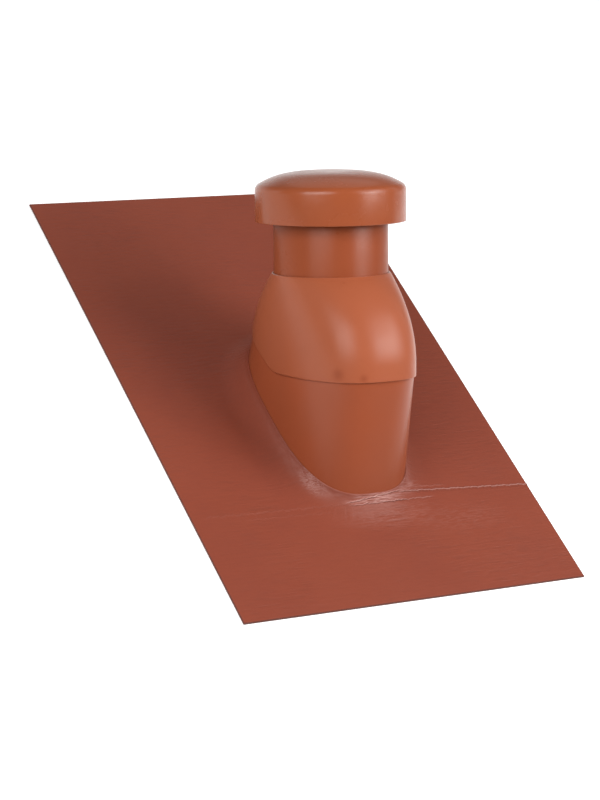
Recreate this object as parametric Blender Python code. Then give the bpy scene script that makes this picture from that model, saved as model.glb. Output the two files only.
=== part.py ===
"""Roof vent hood: a duct pipe with a rain cap, through a two-part hood on a malleable flashing sheet.

Metres, +Z up off the roof plane, +Y up the slope, +X across it.
The origin is the middle of the flashing's underside. The flashing lies flat, so the pipe, which stands
plumb on the roof, leans up the slope here by the roof's pitch.
"""

import bpy
import bmesh
from math import atan, cos, pi, radians, sin, sqrt, tan
from mathutils import Matrix, Vector

# Fits and walls
FIT_GAP = 0.0003
PLASTIC_WALL = 0.002
COLLAR_WALL = 0.0022
ROUND_SIDES = 64

# Flashing sheet
SHEET_WIDTH = 0.426
SHEET_LENGTH = 0.655
SHEET_THICKNESS = 0.0025
AXIS_TO_LOWER_EDGE = 0.2325
ROOF_PITCH = radians(37.4)

# Upstand of the flashing round the hood's foot
UPSTAND_HEIGHT = 0.0195
COVE_SHARE = 0.77
COVE_STEPS = 4
LIP_ROUND = 0.0006
FLANGE_BEYOND_COVE = 0.0025
FLANGE_THICKNESS = 0.002
FLANGE_RAMP = 0.008

# Duct pipe
PIPE_RADIUS = 0.0633
PIPE_WALL = 0.003
PIPE_FLOOR_CLEARANCE = 0.003
PIPE_SHOWN = 0.0566
PIPE_INTO_CAP = 0.016

# Head shell: a round collar that swells into an oval skirt
SIDE_SWELL = 0.0028
END_SWELL = 0.0511
SKIRT_SQUARENESS = 2.7
SKIRT_SHIFT = -0.0014
SKIRT_RIM_HEIGHT = 0.083
SKIRT_STRAIGHT = 0.0155
HEAD_DEPTH = 0.1085
HEAD_ARC_SHARE = 0.66
REAR_RIM_LAG = radians(9.7)
RIM_KNEE = 0.0104
RIM_KNEE_ROUND = 0.005
RIM_PASSES = 30
HEAD_ROWS = 9
HEAD_INNER_ROWS = 6
SLEEVE_DEPTH = 0.018
COLLAR_ROUND = 0.0007

# Base shell: an oblique oval tube from the roof up under the skirt
BASE_SKIRT_GAP = 0.0004
BASE_SPIGOT = 0.010
BASE_SPIGOT_EASE = 0.0004
FOOT_SIDE_FLARE = 0.006
FOOT_END_FLARE = 0.0131
FOOT_SQUARENESS = 2.8
FOOT_SHIFT = 0.0225
BASE_ROWS = 3

# Rain cap
CAP_AIR_GAP = 0.0181
CAP_SIDE_HEIGHT = 0.034
CAP_SHOULDER_RADIUS = 0.009
CAP_SHOULDER_STEPS = 5
CAP_INNER_STEPS = 3
CAP_DOME_RISE = 0.0132
CAP_DOME_FULLNESS = 3.4
CAP_DOME_STEPS = 5
CAP_LIP_ROUND = 0.0006
CAP_RIBS = 4
RIB_THICKNESS = 0.0025
RIB_STEPS = 5
RIB_HUB_RADIUS = 0.012
HUB_SIDES = 24
RIB_TONGUE = 0.018
RIB_TONGUE_CLEARANCE = 0.0008
RIB_ROOT = 0.001

# Sizes that follow from those above
BORE_RADIUS = PIPE_RADIUS + FIT_GAP
COLLAR_RADIUS = BORE_RADIUS + COLLAR_WALL
SKIRT_HALF_WIDTH = COLLAR_RADIUS + SIDE_SWELL
SKIRT_HALF_LENGTH = COLLAR_RADIUS + END_SWELL
SKIRT_TOP = SKIRT_RIM_HEIGHT + SKIRT_STRAIGHT
COLLAR_HEIGHT = SKIRT_RIM_HEIGHT + HEAD_DEPTH
CAP_RIM_HEIGHT = COLLAR_HEIGHT + PIPE_SHOWN
PIPE_TOP = CAP_RIM_HEIGHT + PIPE_INTO_CAP
PIPE_BOTTOM = (PIPE_RADIUS * sin(ROOF_PITCH) + PIPE_FLOOR_CLEARANCE) / cos(ROOF_PITCH)
REAR_RIM_SLOPE = ROOF_PITCH - REAR_RIM_LAG
BASE_INSET = PLASTIC_WALL + BASE_SKIRT_GAP
FOOT_HALF_WIDTH = SKIRT_HALF_WIDTH - BASE_INSET + FOOT_SIDE_FLARE
FOOT_HALF_LENGTH = SKIRT_HALF_LENGTH - BASE_INSET + FOOT_END_FLARE
COVE_RADIUS = UPSTAND_HEIGHT * COVE_SHARE
FLANGE_WIDTH = SHEET_THICKNESS + COVE_RADIUS + FLANGE_BEYOND_COVE
CAP_RADIUS = PIPE_RADIUS + CAP_AIR_GAP + PLASTIC_WALL
RIB_SEAT = PIPE_TOP + FIT_GAP - CAP_RIM_HEIGHT
AXIS_Y = AXIS_TO_LOWER_EDGE - SHEET_LENGTH / 2

PLASTIC_COLOUR = (0.42, 0.115, 0.045, 1.0)
FLASHING_COLOUR = (0.29, 0.075, 0.048, 1.0)


def clear_scene():
    for item in list(bpy.data.objects):
        bpy.data.objects.remove(item, do_unlink=True)


def make_material(name, colour, roughness):
    material = bpy.data.materials.new(name)
    material.use_nodes = True
    shader = material.node_tree.nodes["Principled BSDF"]
    shader.inputs["Base Color"].default_value = colour
    shader.inputs["Roughness"].default_value = roughness
    shader.inputs["Metallic"].default_value = 0.0
    material.diffuse_color = colour
    return material


def link_mesh(name, bm, material, parent=None):
    """Turns a finished bmesh into a named object."""
    mesh = bpy.data.meshes.new(name)
    bm.to_mesh(mesh)
    bm.free()
    mesh.shade_smooth()
    mesh.set_sharp_from_angle(angle=radians(35))
    mesh.materials.append(material)
    item = bpy.data.objects.new(name, mesh)
    bpy.context.scene.collection.objects.link(item)
    item.parent = parent
    return item


def pull_ring(bm, verts, points):
    """Extrudes a ring of edges onto the next ring of points and gives its vertices in the same order."""
    ring = [bm.edges.get((verts[i - 1], verts[i])) for i in range(len(verts))]
    pulled = bmesh.ops.extrude_edge_only(bm, edges=ring)["geom"]
    fresh = {v for v in pulled if isinstance(v, bmesh.types.BMVert)}
    following = []
    for vert in verts:
        twin = next(e.other_vert(vert) for e in vert.link_edges if e.other_vert(vert) in fresh)
        following.append(twin)
    for twin, point in zip(following, points):
        twin.co = point
    return following


def ring_shell(rings, capped=False):
    """A shell pulled through rings of points: back to the first ring, or capped at both ends."""
    bm = bmesh.new()
    first = [bm.verts.new(point) for point in rings[0]]
    for index in range(len(first)):
        bm.edges.new((first[index - 1], first[index]))
    last = first
    for points in rings[1:] if capped else rings[1:] + rings[:1]:
        last = pull_ring(bm, last, points)
    if capped:
        for verts in (first, last):
            ends = [bm.edges.get((verts[i - 1], verts[i])) for i in range(len(verts))]
            bmesh.ops.edgeloop_fill(bm, edges=ends)
    else:
        bmesh.ops.weld_verts(bm, targetmap=dict(zip(last, first)))
    bmesh.ops.recalc_face_normals(bm, faces=bm.faces)
    return bm


def turns(count=ROUND_SIDES):
    return [2 * pi * i / count for i in range(count)]


def circle(radius, height):
    return [Vector((radius * cos(t), radius * sin(t), height)) for t in turns()]


def signed_power(value, power):
    return (1 if value >= 0 else -1) * abs(value) ** power


def oval_point(t, half_width, half_length, squareness, shift, height):
    """A point of a superellipse that lies level, its long axis along Y."""
    x = half_width * signed_power(cos(t), 2 / squareness)
    y = shift + half_length * signed_power(sin(t), 2 / squareness)
    return Vector((x, y, height))


def level_normal(t, half_width, half_length, squareness):
    """The superellipse's outward direction in its own plane."""
    x = signed_power(cos(t), 2 - 2 / squareness) / half_width
    y = signed_power(sin(t), 2 - 2 / squareness) / half_length
    return Vector((x, y, 0)).normalized()


# Head shell

def head_swell(height):
    """0 at the collar and 1 at the top of the skirt, along an arc that runs straight into the skirt."""
    share = min(max((height - SKIRT_TOP) / (COLLAR_HEIGHT - SKIRT_TOP), 0.0), 1.0)
    flat = sqrt(1 - HEAD_ARC_SHARE ** 2)
    return (sqrt(1 - (HEAD_ARC_SHARE * share) ** 2) - flat) / (1 - flat)


def head_point(t, height):
    swell = head_swell(height)
    return oval_point(
        t,
        COLLAR_RADIUS + SIDE_SWELL * swell,
        COLLAR_RADIUS + END_SWELL * swell,
        2 + (SKIRT_SQUARENESS - 2) * swell,
        SKIRT_SHIFT * swell,
        height,
    )


def head_normal(t, height):
    """The head shell's outward direction, square to its surface."""
    step = 0.001
    around = head_point(t + step, height) - head_point(t - step, height)
    low = max(height - step, SKIRT_RIM_HEIGHT)
    up = head_point(t, low + step) - head_point(t, low)
    return around.cross(up).normalized()


def rim_height(y):
    """The skirt's lower edge: level in front, rising behind the pipe to clear the roof."""
    past_knee = y - RIM_KNEE
    rounded = (past_knee + sqrt(past_knee ** 2 + RIM_KNEE_ROUND ** 2)) / 2
    return SKIRT_RIM_HEIGHT + tan(REAR_RIM_SLOPE) * rounded


def rim_level(t):
    """The height at which the head shell's surface meets its rim."""
    height = SKIRT_RIM_HEIGHT
    for _ in range(RIM_PASSES):
        height = rim_height(head_point(t, height).y)
    return height


def head_outer(t, share):
    """A point of the outer surface, from the rim at share 0 to the collar at 1."""
    low = rim_level(t)
    height = low + (COLLAR_HEIGHT - low) * sin(share * pi / 2)
    return head_point(t, height)


def head_inner(t, share):
    outer = head_outer(t, share)
    inner = outer - PLASTIC_WALL * head_normal(t, outer.z)
    if share == 0:
        inner.z = outer.z
    return inner


def make_upper_hood(material, head_axis):
    outer = [[head_outer(t, row / HEAD_ROWS) for t in turns()] for row in range(HEAD_ROWS)]
    collar = [
        circle(COLLAR_RADIUS, COLLAR_HEIGHT - COLLAR_ROUND),
        circle(COLLAR_RADIUS - COLLAR_ROUND, COLLAR_HEIGHT),
        circle(BORE_RADIUS, COLLAR_HEIGHT),
        circle(BORE_RADIUS, COLLAR_HEIGHT - SLEEVE_DEPTH),
        circle(BORE_RADIUS + PLASTIC_WALL, COLLAR_HEIGHT - SLEEVE_DEPTH),
    ]
    inner_rows = range(HEAD_INNER_ROWS - 1, -1, -1)
    inner = [[head_inner(t, row / HEAD_INNER_ROWS) for t in turns()] for row in inner_rows]
    link_mesh("upper_hood", ring_shell(outer + collar + inner), material, head_axis)


# Base shell, in the roof's frame

def base_top(t, head_to_roof, ease=0.0, rise=0.0):
    """A point of the base shell's outer face under the skirt's wall, at a height above its rim."""
    height = rim_level(t) + rise
    point = head_point(t, height) - (BASE_INSET + ease) * head_normal(t, height)
    return head_to_roof @ point


def foot_point(t):
    return oval_point(t, FOOT_HALF_WIDTH, FOOT_HALF_LENGTH, FOOT_SQUARENESS, AXIS_Y + FOOT_SHIFT, 0)


def foot_normal(t):
    return level_normal(t, FOOT_HALF_WIDTH, FOOT_HALF_LENGTH, FOOT_SQUARENESS)


def wall_row(head_to_roof, height, outset):
    """A level ring at a height off the roof and a distance out from the base shell's wall."""
    ring = []
    for t in turns():
        foot, top = foot_point(t), base_top(t, head_to_roof)
        ring.append(foot.lerp(top, height / top.z) + outset * foot_normal(t))
    return ring


def wall_share(head_to_roof, share, outset):
    """A ring a share of the way up the base shell's wall, from its foot to the skirt's rim."""
    ring = []
    for t in turns():
        ring.append(foot_point(t).lerp(base_top(t, head_to_roof), share) + outset * foot_normal(t))
    return ring


def make_lower_hood(material, head_to_roof):
    rows = range(1, BASE_ROWS + 1)
    outer = [wall_share(head_to_roof, row / BASE_ROWS, 0) for row in rows]
    inner = [wall_share(head_to_roof, row / BASE_ROWS, -PLASTIC_WALL) for row in reversed(rows)]
    spigot_eases = (BASE_SPIGOT_EASE, BASE_SPIGOT_EASE + PLASTIC_WALL)
    spigot = [[base_top(t, head_to_roof, ease, BASE_SPIGOT) for t in turns()] for ease in spigot_eases]
    foot = [
        wall_row(head_to_roof, 0, -PLASTIC_WALL),
        wall_row(head_to_roof, 0, FLANGE_WIDTH),
        wall_row(head_to_roof, FLANGE_THICKNESS, FLANGE_WIDTH),
        wall_row(head_to_roof, FLANGE_THICKNESS, 0),
    ]
    link_mesh("lower_hood", ring_shell(foot + outer + spigot + inner), material)


# Flashing

def sheet_edge_points(height):
    """Points round the sheet's edge, one for each turn, with a point on each corner."""
    centre = Vector((0, AXIS_Y + FOOT_SHIFT, height))
    half_width, low, high = SHEET_WIDTH / 2, -SHEET_LENGTH / 2, SHEET_LENGTH / 2
    corners = [Vector((x, y, height)) for x in (-half_width, half_width) for y in (low, high)]
    points = []
    for t in turns():
        aim = foot_point(t) - centre
        room = high - centre.y if aim.y > 0 else centre.y - low
        reach = 1 / max(abs(aim.x) / half_width, abs(aim.y) / room)
        points.append(Vector((centre.x + aim.x * reach, centre.y + aim.y * reach, height)))
    for corner in corners:
        nearest = min(range(len(points)), key=lambda i: (points[i] - corner).length)
        points[nearest] = corner
    return points


def make_flashing(material, head_to_roof):
    flange_top = FLANGE_THICKNESS + FIT_GAP
    sheet_over_flange = flange_top + SHEET_THICKNESS
    lip_top = SHEET_THICKNESS + UPSTAND_HEIGHT
    flange_edge = FLANGE_WIDTH + FIT_GAP
    wall_face = FIT_GAP + SHEET_THICKNESS
    lip = [
        wall_row(head_to_roof, lip_top, FIT_GAP),
        wall_row(head_to_roof, lip_top, wall_face - LIP_ROUND),
        wall_row(head_to_roof, lip_top - LIP_ROUND, wall_face),
    ]
    cove = []
    for step in range(COVE_STEPS + 1):
        turn = step / COVE_STEPS * pi / 2
        height = sheet_over_flange + COVE_RADIUS * (1 - sin(turn))
        cove.append(wall_row(head_to_roof, height, wall_face + COVE_RADIUS * (1 - cos(turn))))
    top = [
        wall_row(head_to_roof, sheet_over_flange, flange_edge),
        wall_row(head_to_roof, SHEET_THICKNESS, flange_edge + FLANGE_RAMP),
        sheet_edge_points(SHEET_THICKNESS),
    ]
    under = [
        sheet_edge_points(0),
        wall_row(head_to_roof, 0, flange_edge + FLANGE_RAMP),
        wall_row(head_to_roof, 0, flange_edge),
        wall_row(head_to_roof, flange_top, flange_edge),
        wall_row(head_to_roof, flange_top, FIT_GAP),
    ]
    link_mesh("flashing_sheet", ring_shell(lip + cove + top + under), material)


# Pipe and cap, in the head's frame

def make_pipe(material, head_axis):
    inner_radius = PIPE_RADIUS - PIPE_WALL
    rings = [
        circle(PIPE_RADIUS, PIPE_BOTTOM),
        circle(PIPE_RADIUS, PIPE_TOP),
        circle(inner_radius, PIPE_TOP),
        circle(inner_radius, PIPE_BOTTOM),
    ]
    link_mesh("vent_pipe", ring_shell(rings), material, head_axis)


def cap_profile(inset=0.0, shoulder_steps=CAP_SHOULDER_STEPS, dome_steps=CAP_DOME_STEPS):
    """Radius and height above the rim, over the shoulder and the dome, set in by inset."""
    dome_edge = CAP_RADIUS - CAP_SHOULDER_RADIUS
    dome_slope = atan(CAP_DOME_FULLNESS * CAP_DOME_RISE / dome_edge)
    shoulder = CAP_SHOULDER_RADIUS - inset
    points = []
    for step in range(shoulder_steps + 1):
        turn = step / shoulder_steps * (pi / 2 - dome_slope)
        points.append((dome_edge + shoulder * cos(turn), CAP_SIDE_HEIGHT + shoulder * sin(turn)))
    start_radius, start_height = points[-1]
    rise = start_radius * tan(dome_slope) / CAP_DOME_FULLNESS
    for step in range(1, dome_steps + 1):
        share = 1 - step / (dome_steps + 0.4)
        height = start_height + rise * (1 - share ** CAP_DOME_FULLNESS)
        points.append((start_radius * share, height))
    return points


def cap_inner_profile():
    return cap_profile(PLASTIC_WALL, CAP_INNER_STEPS, CAP_INNER_STEPS)


def make_cap_shell():
    outer = [(CAP_RADIUS, CAP_LIP_ROUND)] + cap_profile()
    inner = cap_inner_profile()[::-1] + [(CAP_RADIUS - PLASTIC_WALL, 0.0)]
    lip = [(CAP_RADIUS - CAP_LIP_ROUND, 0.0)]
    profile = outer[::-1] + lip + inner[::-1]
    rings = [circle(radius, CAP_RIM_HEIGHT + height) for radius, height in profile]
    return ring_shell(rings, capped=True)


def ceiling_height(radius):
    """The underside of the dome over a given radius, along the straight facets of its profile."""
    points = cap_inner_profile()
    for (r0, z0), (r1, z1) in zip(points, points[1:]):
        if r1 <= radius <= r0:
            return z0 + (z1 - z0) * (r0 - radius) / (r0 - r1)
    return points[-1][1]


def rib_outline():
    """A rib as radius and height: a web under the dome, a step on the pipe, a tongue in the bore."""
    tongue_radius = PIPE_RADIUS - PIPE_WALL - RIB_TONGUE_CLEARANCE
    wall_face = CAP_RADIUS - PLASTIC_WALL + RIB_ROOT
    inner_end = RIB_HUB_RADIUS / 2
    run = CAP_RADIUS - CAP_SHOULDER_RADIUS - inner_end
    top = []
    for step in range(RIB_STEPS + 1):
        radius = inner_end + run * step / RIB_STEPS
        top.append((radius, ceiling_height(radius) + RIB_ROOT))
    top.append((wall_face, CAP_SIDE_HEIGHT))
    bottom = [
        (wall_face, RIB_SEAT),
        (tongue_radius, RIB_SEAT),
        (tongue_radius, RIB_SEAT - RIB_TONGUE),
        (tongue_radius - RIB_TONGUE / 2, RIB_SEAT - RIB_TONGUE),
        (inner_end, RIB_SEAT),
    ]
    return top + bottom


def add_rib(bm, angle):
    """A plate standing on a radius, extruded from its outline."""
    turn = Matrix.Rotation(angle, 3, "Z")
    verts = []
    for radius, height in rib_outline():
        point = Vector((radius, -RIB_THICKNESS / 2, CAP_RIM_HEIGHT + height))
        verts.append(bm.verts.new(turn @ point))
    face = bm.faces.new(verts)
    pulled = bmesh.ops.extrude_face_region(bm, geom=[face])["geom"]
    shift = turn @ Vector((0, RIB_THICKNESS, 0))
    lifted = [item for item in pulled if isinstance(item, bmesh.types.BMVert)]
    bmesh.ops.translate(bm, vec=shift, verts=lifted)


def make_guide(name, bm, material, parent):
    """A helper solid for a Boolean, left out of the model."""
    bmesh.ops.recalc_face_normals(bm, faces=bm.faces)
    guide = link_mesh(name, bm, material, parent)
    guide.hide_render = True
    guide.display_type = "WIRE"
    return guide


def unite(target, guide):
    joined = target.modifiers.new(guide.name, "BOOLEAN")
    joined.operation = "UNION"
    joined.object = guide


def make_hub():
    """A short round boss under the middle of the dome, where the ribs meet."""
    hub = bmesh.new()
    hub_top = ceiling_height(0) + RIB_ROOT
    bmesh.ops.create_cone(
        hub,
        cap_ends=True,
        segments=HUB_SIDES,
        radius1=RIB_HUB_RADIUS,
        radius2=RIB_HUB_RADIUS,
        depth=hub_top - RIB_SEAT,
        matrix=Matrix.Translation((0, 0, CAP_RIM_HEIGHT + (hub_top + RIB_SEAT) / 2)),
    )
    return hub


def make_rain_cap(material, head_axis):
    cap = link_mesh("rain_cap", make_cap_shell(), material, head_axis)
    unite(cap, make_guide("hub_guide", make_hub(), material, head_axis))
    for index in range(CAP_RIBS):
        rib = bmesh.new()
        add_rib(rib, (index + 0.5) * 2 * pi / CAP_RIBS)
        unite(cap, make_guide(f"rib_guide_{index + 1}", rib, material, head_axis))


def make_head_axis():
    """The line of the pipe: it crosses the flashing's top face, leaning by the roof's pitch."""
    axis = bpy.data.objects.new("head_axis", None)
    bpy.context.scene.collection.objects.link(axis)
    axis.location = (0, AXIS_Y, SHEET_THICKNESS)
    axis.rotation_euler = (-ROOF_PITCH, 0, 0)
    return axis


def main():
    clear_scene()
    plastic = make_material("terracotta_plastic", PLASTIC_COLOUR, 0.32)
    flashing = make_material("terracotta_flashing", FLASHING_COLOUR, 0.55)
    head_axis = make_head_axis()
    head_to_roof = Matrix.Translation(head_axis.location) @ Matrix.Rotation(-ROOF_PITCH, 4, "X")
    make_flashing(flashing, head_to_roof)
    make_lower_hood(plastic, head_to_roof)
    make_upper_hood(plastic, head_axis)
    make_pipe(plastic, head_axis)
    make_rain_cap(plastic, head_axis)


main()
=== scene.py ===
from math import atan, cos, exp, pi, radians, sin, sqrt, tan

import bmesh
import bpy
from mathutils import Matrix, Vector, noise


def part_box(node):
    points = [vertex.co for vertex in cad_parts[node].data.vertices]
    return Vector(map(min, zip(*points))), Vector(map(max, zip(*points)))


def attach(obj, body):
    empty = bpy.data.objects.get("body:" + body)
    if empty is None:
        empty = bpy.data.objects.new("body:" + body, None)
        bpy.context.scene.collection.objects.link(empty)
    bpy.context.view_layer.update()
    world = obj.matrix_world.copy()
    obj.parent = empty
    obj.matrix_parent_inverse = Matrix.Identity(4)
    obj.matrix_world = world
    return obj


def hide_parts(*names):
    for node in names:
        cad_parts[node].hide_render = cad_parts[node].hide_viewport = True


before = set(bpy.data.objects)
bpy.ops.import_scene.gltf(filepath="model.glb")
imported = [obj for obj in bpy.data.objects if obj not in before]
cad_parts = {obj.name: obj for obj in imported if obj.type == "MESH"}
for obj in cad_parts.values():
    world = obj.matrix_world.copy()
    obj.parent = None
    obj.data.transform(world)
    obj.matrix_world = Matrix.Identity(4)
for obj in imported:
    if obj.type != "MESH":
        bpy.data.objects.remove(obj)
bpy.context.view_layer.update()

scene = bpy.context.scene
sheetLow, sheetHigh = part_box("flashing_sheet")

# The pipe stands plumb on the roof. Here the roof lies flat, so the head leans up the slope.
roof = {
    "pitch": radians(37.4),
    "axisFromLowerEdge": 0.2325,
    "sheetThickness": 0.0025,
}
axisY = sheetLow.y + roof["axisFromLowerEdge"]
headPlace = Matrix.Translation((0, axisY, roof["sheetThickness"])) @ Matrix.Rotation(-roof["pitch"], 4, "X")


# Mesh tools shared by the pieces

def arcPoints(centre, radius, start, end, steps):
    points = []
    for step in range(steps + 1):
        turn = start + (end - start) * step / steps
        points.append((centre[0] + radius * cos(turn), centre[1] + radius * sin(turn)))
    return points


def signedPower(value, power):
    return (1 if value >= 0 else -1) * abs(value) ** power


def ovalPoint(turn, halfWidth, halfLength, squareness, shift, height):
    x = halfWidth * signedPower(cos(turn), 2 / squareness)
    y = shift + halfLength * signedPower(sin(turn), 2 / squareness)
    return Vector((x, y, height))


def ovalNormal(turn, halfWidth, halfLength, squareness):
    x = signedPower(cos(turn), 2 - 2 / squareness) / halfWidth
    y = signedPower(sin(turn), 2 - 2 / squareness) / halfLength
    return Vector((x, y, 0)).normalized()


def turnsRound(columns):
    return [2 * pi * column / columns for column in range(columns)]


def startRing(bm, points):
    made = bmesh.ops.create_circle(bm, cap_ends=False, segments=len(points), radius=1)
    ring = made["verts"]
    for vert, point in zip(ring, points):
        vert.co = point
    return ring


def pullRing(bm, ring, points):
    edges = [bm.edges.get((ring[i - 1], ring[i])) for i in range(len(ring))]
    pulled = bmesh.ops.extrude_edge_only(bm, edges=edges)["geom"]
    fresh = {item for item in pulled if isinstance(item, bmesh.types.BMVert)}
    following = []
    for vert in ring:
        twin = next(edge.other_vert(vert) for edge in vert.link_edges if edge.other_vert(vert) in fresh)
        following.append(twin)
    for twin, point in zip(following, points):
        twin.co = point
    return following


def shellOfRings(rings):
    bm = bmesh.new()
    first = startRing(bm, rings[0])
    last = first
    for points in rings[1:] + rings[:1]:
        last = pullRing(bm, last, points)
    bmesh.ops.weld_verts(bm, targetmap=dict(zip(last, first)))
    bmesh.ops.recalc_face_normals(bm, faces=bm.faces)
    return bm


def spunShell(profile, steps, closed=True):
    bm = bmesh.new()
    verts = [bm.verts.new((radius, 0, height)) for radius, height in profile]
    edges = [bm.edges.new(pair) for pair in zip(verts, verts[1:])]
    if closed:
        edges.append(bm.edges.new((verts[-1], verts[0])))
    bmesh.ops.spin(
        bm, geom=verts + edges, cent=(0, 0, 0), axis=(0, 0, 1), angle=2 * pi, steps=steps, use_merge=True,
    )
    bmesh.ops.remove_doubles(bm, verts=bm.verts, dist=1e-6)
    bmesh.ops.recalc_face_normals(bm, faces=bm.faces)
    return bm


def roundEdges(bm, offset, segments, sharperThan=radians(50)):
    edges = [e for e in bm.edges if e.is_manifold and e.calc_face_angle() > sharperThan]
    bmesh.ops.bevel(
        bm, geom=edges, offset=offset, offset_type="OFFSET", affect="EDGES",
        segments=segments, profile=0.5, material=-1, clamp_overlap=True,
    )


def finishPiece(name, bm, material, cadNode, place=None, sharperThan=radians(40)):
    if place is not None:
        bm.transform(place)
    mesh = bpy.data.meshes.new(name)
    bm.to_mesh(mesh)
    bm.free()
    mesh.shade_smooth()
    mesh.set_sharp_from_angle(angle=sharperThan)
    mesh.materials.append(material)
    piece = bpy.data.objects.new(name, mesh)
    scene.collection.objects.link(piece)
    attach(piece, "root")
    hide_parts(cadNode)
    print(f"{name}: {len(mesh.polygons)} faces")


# Shader tools

def newNode(tree, kind, **settings):
    node = tree.nodes.new(kind)
    for key, value in settings.items():
        setattr(node, key, value)
    return node


# Wires a socket to the target, or writes a plain value on it
def feed(tree, target, source):
    if isinstance(source, bpy.types.NodeSocket):
        tree.links.new(source, target)
    elif source is not None:
        target.default_value = source


def mathNode(tree, operation, first, second=None):
    node = newNode(tree, "ShaderNodeMath", operation=operation)
    feed(tree, node.inputs[0], first)
    feed(tree, node.inputs[1], second)
    return node.outputs["Value"]


def plus(tree, first, second):
    return mathNode(tree, "ADD", first, second)


def minus(tree, first, second):
    return mathNode(tree, "SUBTRACT", first, second)


def times(tree, first, second):
    return mathNode(tree, "MULTIPLY", first, second)


def vectorNode(tree, operation, first, second=None, result="Vector"):
    node = newNode(tree, "ShaderNodeVectorMath", operation=operation)
    feed(tree, node.inputs[0], first)
    feed(tree, node.inputs[1], second)
    return node.outputs[result]


def rampNode(tree, value, fromMin, fromMax, toMin=0.0, toMax=1.0, kind="SMOOTHSTEP"):
    node = newNode(tree, "ShaderNodeMapRange", interpolation_type=kind)
    ends = {"Value": value, "From Min": fromMin, "From Max": fromMax, "To Min": toMin, "To Max": toMax}
    for key, source in ends.items():
        feed(tree, node.inputs[key], source)
    return node.outputs["Result"]


def cloudNode(tree, vector, scale=1.0, **settings):
    node = newNode(tree, "ShaderNodeTexNoise", noise_dimensions="3D")
    for key, source in dict(settings, Vector=vector, Scale=scale).items():
        feed(tree, node.inputs[key], source)
    return node.outputs["Fac"]


def mixNode(tree, share, first, second):
    node = newNode(tree, "ShaderNodeMix", data_type="RGBA", blend_type="MIX")
    feed(tree, node.inputs["Factor"], share)
    feed(tree, node.inputs[6], first)
    feed(tree, node.inputs[7], second)
    return node.outputs[2]


def partsOf(tree, vector):
    node = newNode(tree, "ShaderNodeSeparateXYZ")
    feed(tree, node.inputs["Vector"], vector)
    return node.outputs


# Inputs are name: value, where three numbers make a vector and four a colour. Outputs are name: kind.
def newGroup(name, inputs, outputs):
    tree = bpy.data.node_groups.new(name, "ShaderNodeTree")
    for socketName, value in inputs.items():
        kind = "Float" if isinstance(value, float) else "Color" if len(value) == 4 else "Vector"
        socket = tree.interface.new_socket(name=socketName, in_out="INPUT", socket_type="NodeSocket" + kind)
        socket.default_value = value
    for socketName, kind in outputs.items():
        tree.interface.new_socket(name=socketName, in_out="OUTPUT", socket_type="NodeSocket" + kind)
    start = tree.nodes.new("NodeGroupInput")
    end = tree.nodes.new("NodeGroupOutput")
    return tree, start.outputs, end.inputs


def placeGroup(tree, group, **values):
    node = newNode(tree, "ShaderNodeGroup", node_tree=group)
    for key, value in values.items():
        feed(tree, node.inputs[key], value)
    return node.outputs


# Slow clouds of a second tone
def makeToneDrift():
    tree, given, made = newGroup(
        "tone drift",
        {
            "Vector": (0, 0, 0),
            "Scale": 12.0,
            "Base": (0.5, 0.2, 0.1, 1),
            "Drift": (0.4, 0.15, 0.1, 1),
            "Amount": 0.3,
        },
        {"Color": "Color"},
    )
    clouds = cloudNode(tree, given["Vector"], given["Scale"], Detail=4.0, Roughness=0.55)
    share = times(tree, rampNode(tree, clouds, 0.35, 0.65), given["Amount"])
    feed(tree, made["Color"], mixNode(tree, share, given["Base"], given["Drift"]))
    return tree


# Gloss that changes where hands and handling have rubbed it
def makeRubbedGloss():
    tree, given, made = newGroup(
        "rubbed gloss",
        {"Vector": (0, 0, 0), "Scale": 20.0, "Glossy": 0.3, "Dull": 0.4},
        {"Roughness": "Float"},
    )
    clouds = cloudNode(tree, given["Vector"], given["Scale"], Detail=5.0)
    gloss = rampNode(tree, clouds, 0.3, 0.7, given["Glossy"], given["Dull"], "LINEAR")
    feed(tree, made["Roughness"], gloss)
    return tree


# The grain of a moulded face, on top of its slow waves
def makeFineGrain():
    tree, given, made = newGroup(
        "fine grain",
        {"Vector": (0, 0, 0), "Scale": 900.0, "WaveScale": 26.0, "Waviness": 0.3},
        {"Height": "Float"},
    )
    grain = cloudNode(tree, given["Vector"], given["Scale"], Detail=3.0)
    slow = cloudNode(tree, given["Vector"], given["WaveScale"], Detail=1.0)
    feed(tree, made["Height"], plus(tree, grain, times(tree, slow, given["Waviness"])))
    return tree


# How every crease wanders: waves of rate and phase per metre of X, each with its share
creaseWaves = ((310.0, 0.4, 0.40), (640.0, 1.7, 0.35), (1370.0, 0.6, 0.25))
creaseShift = 900.0     # sets the waves of one crease apart from the next
creaseFade = 0.016      # length over which a crease fades out at its ends
furrowPlace = 1.1       # the furrow beside the ridge, in widths of the crease
furrowDepth = 0.7       # as a share of the ridge


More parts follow.
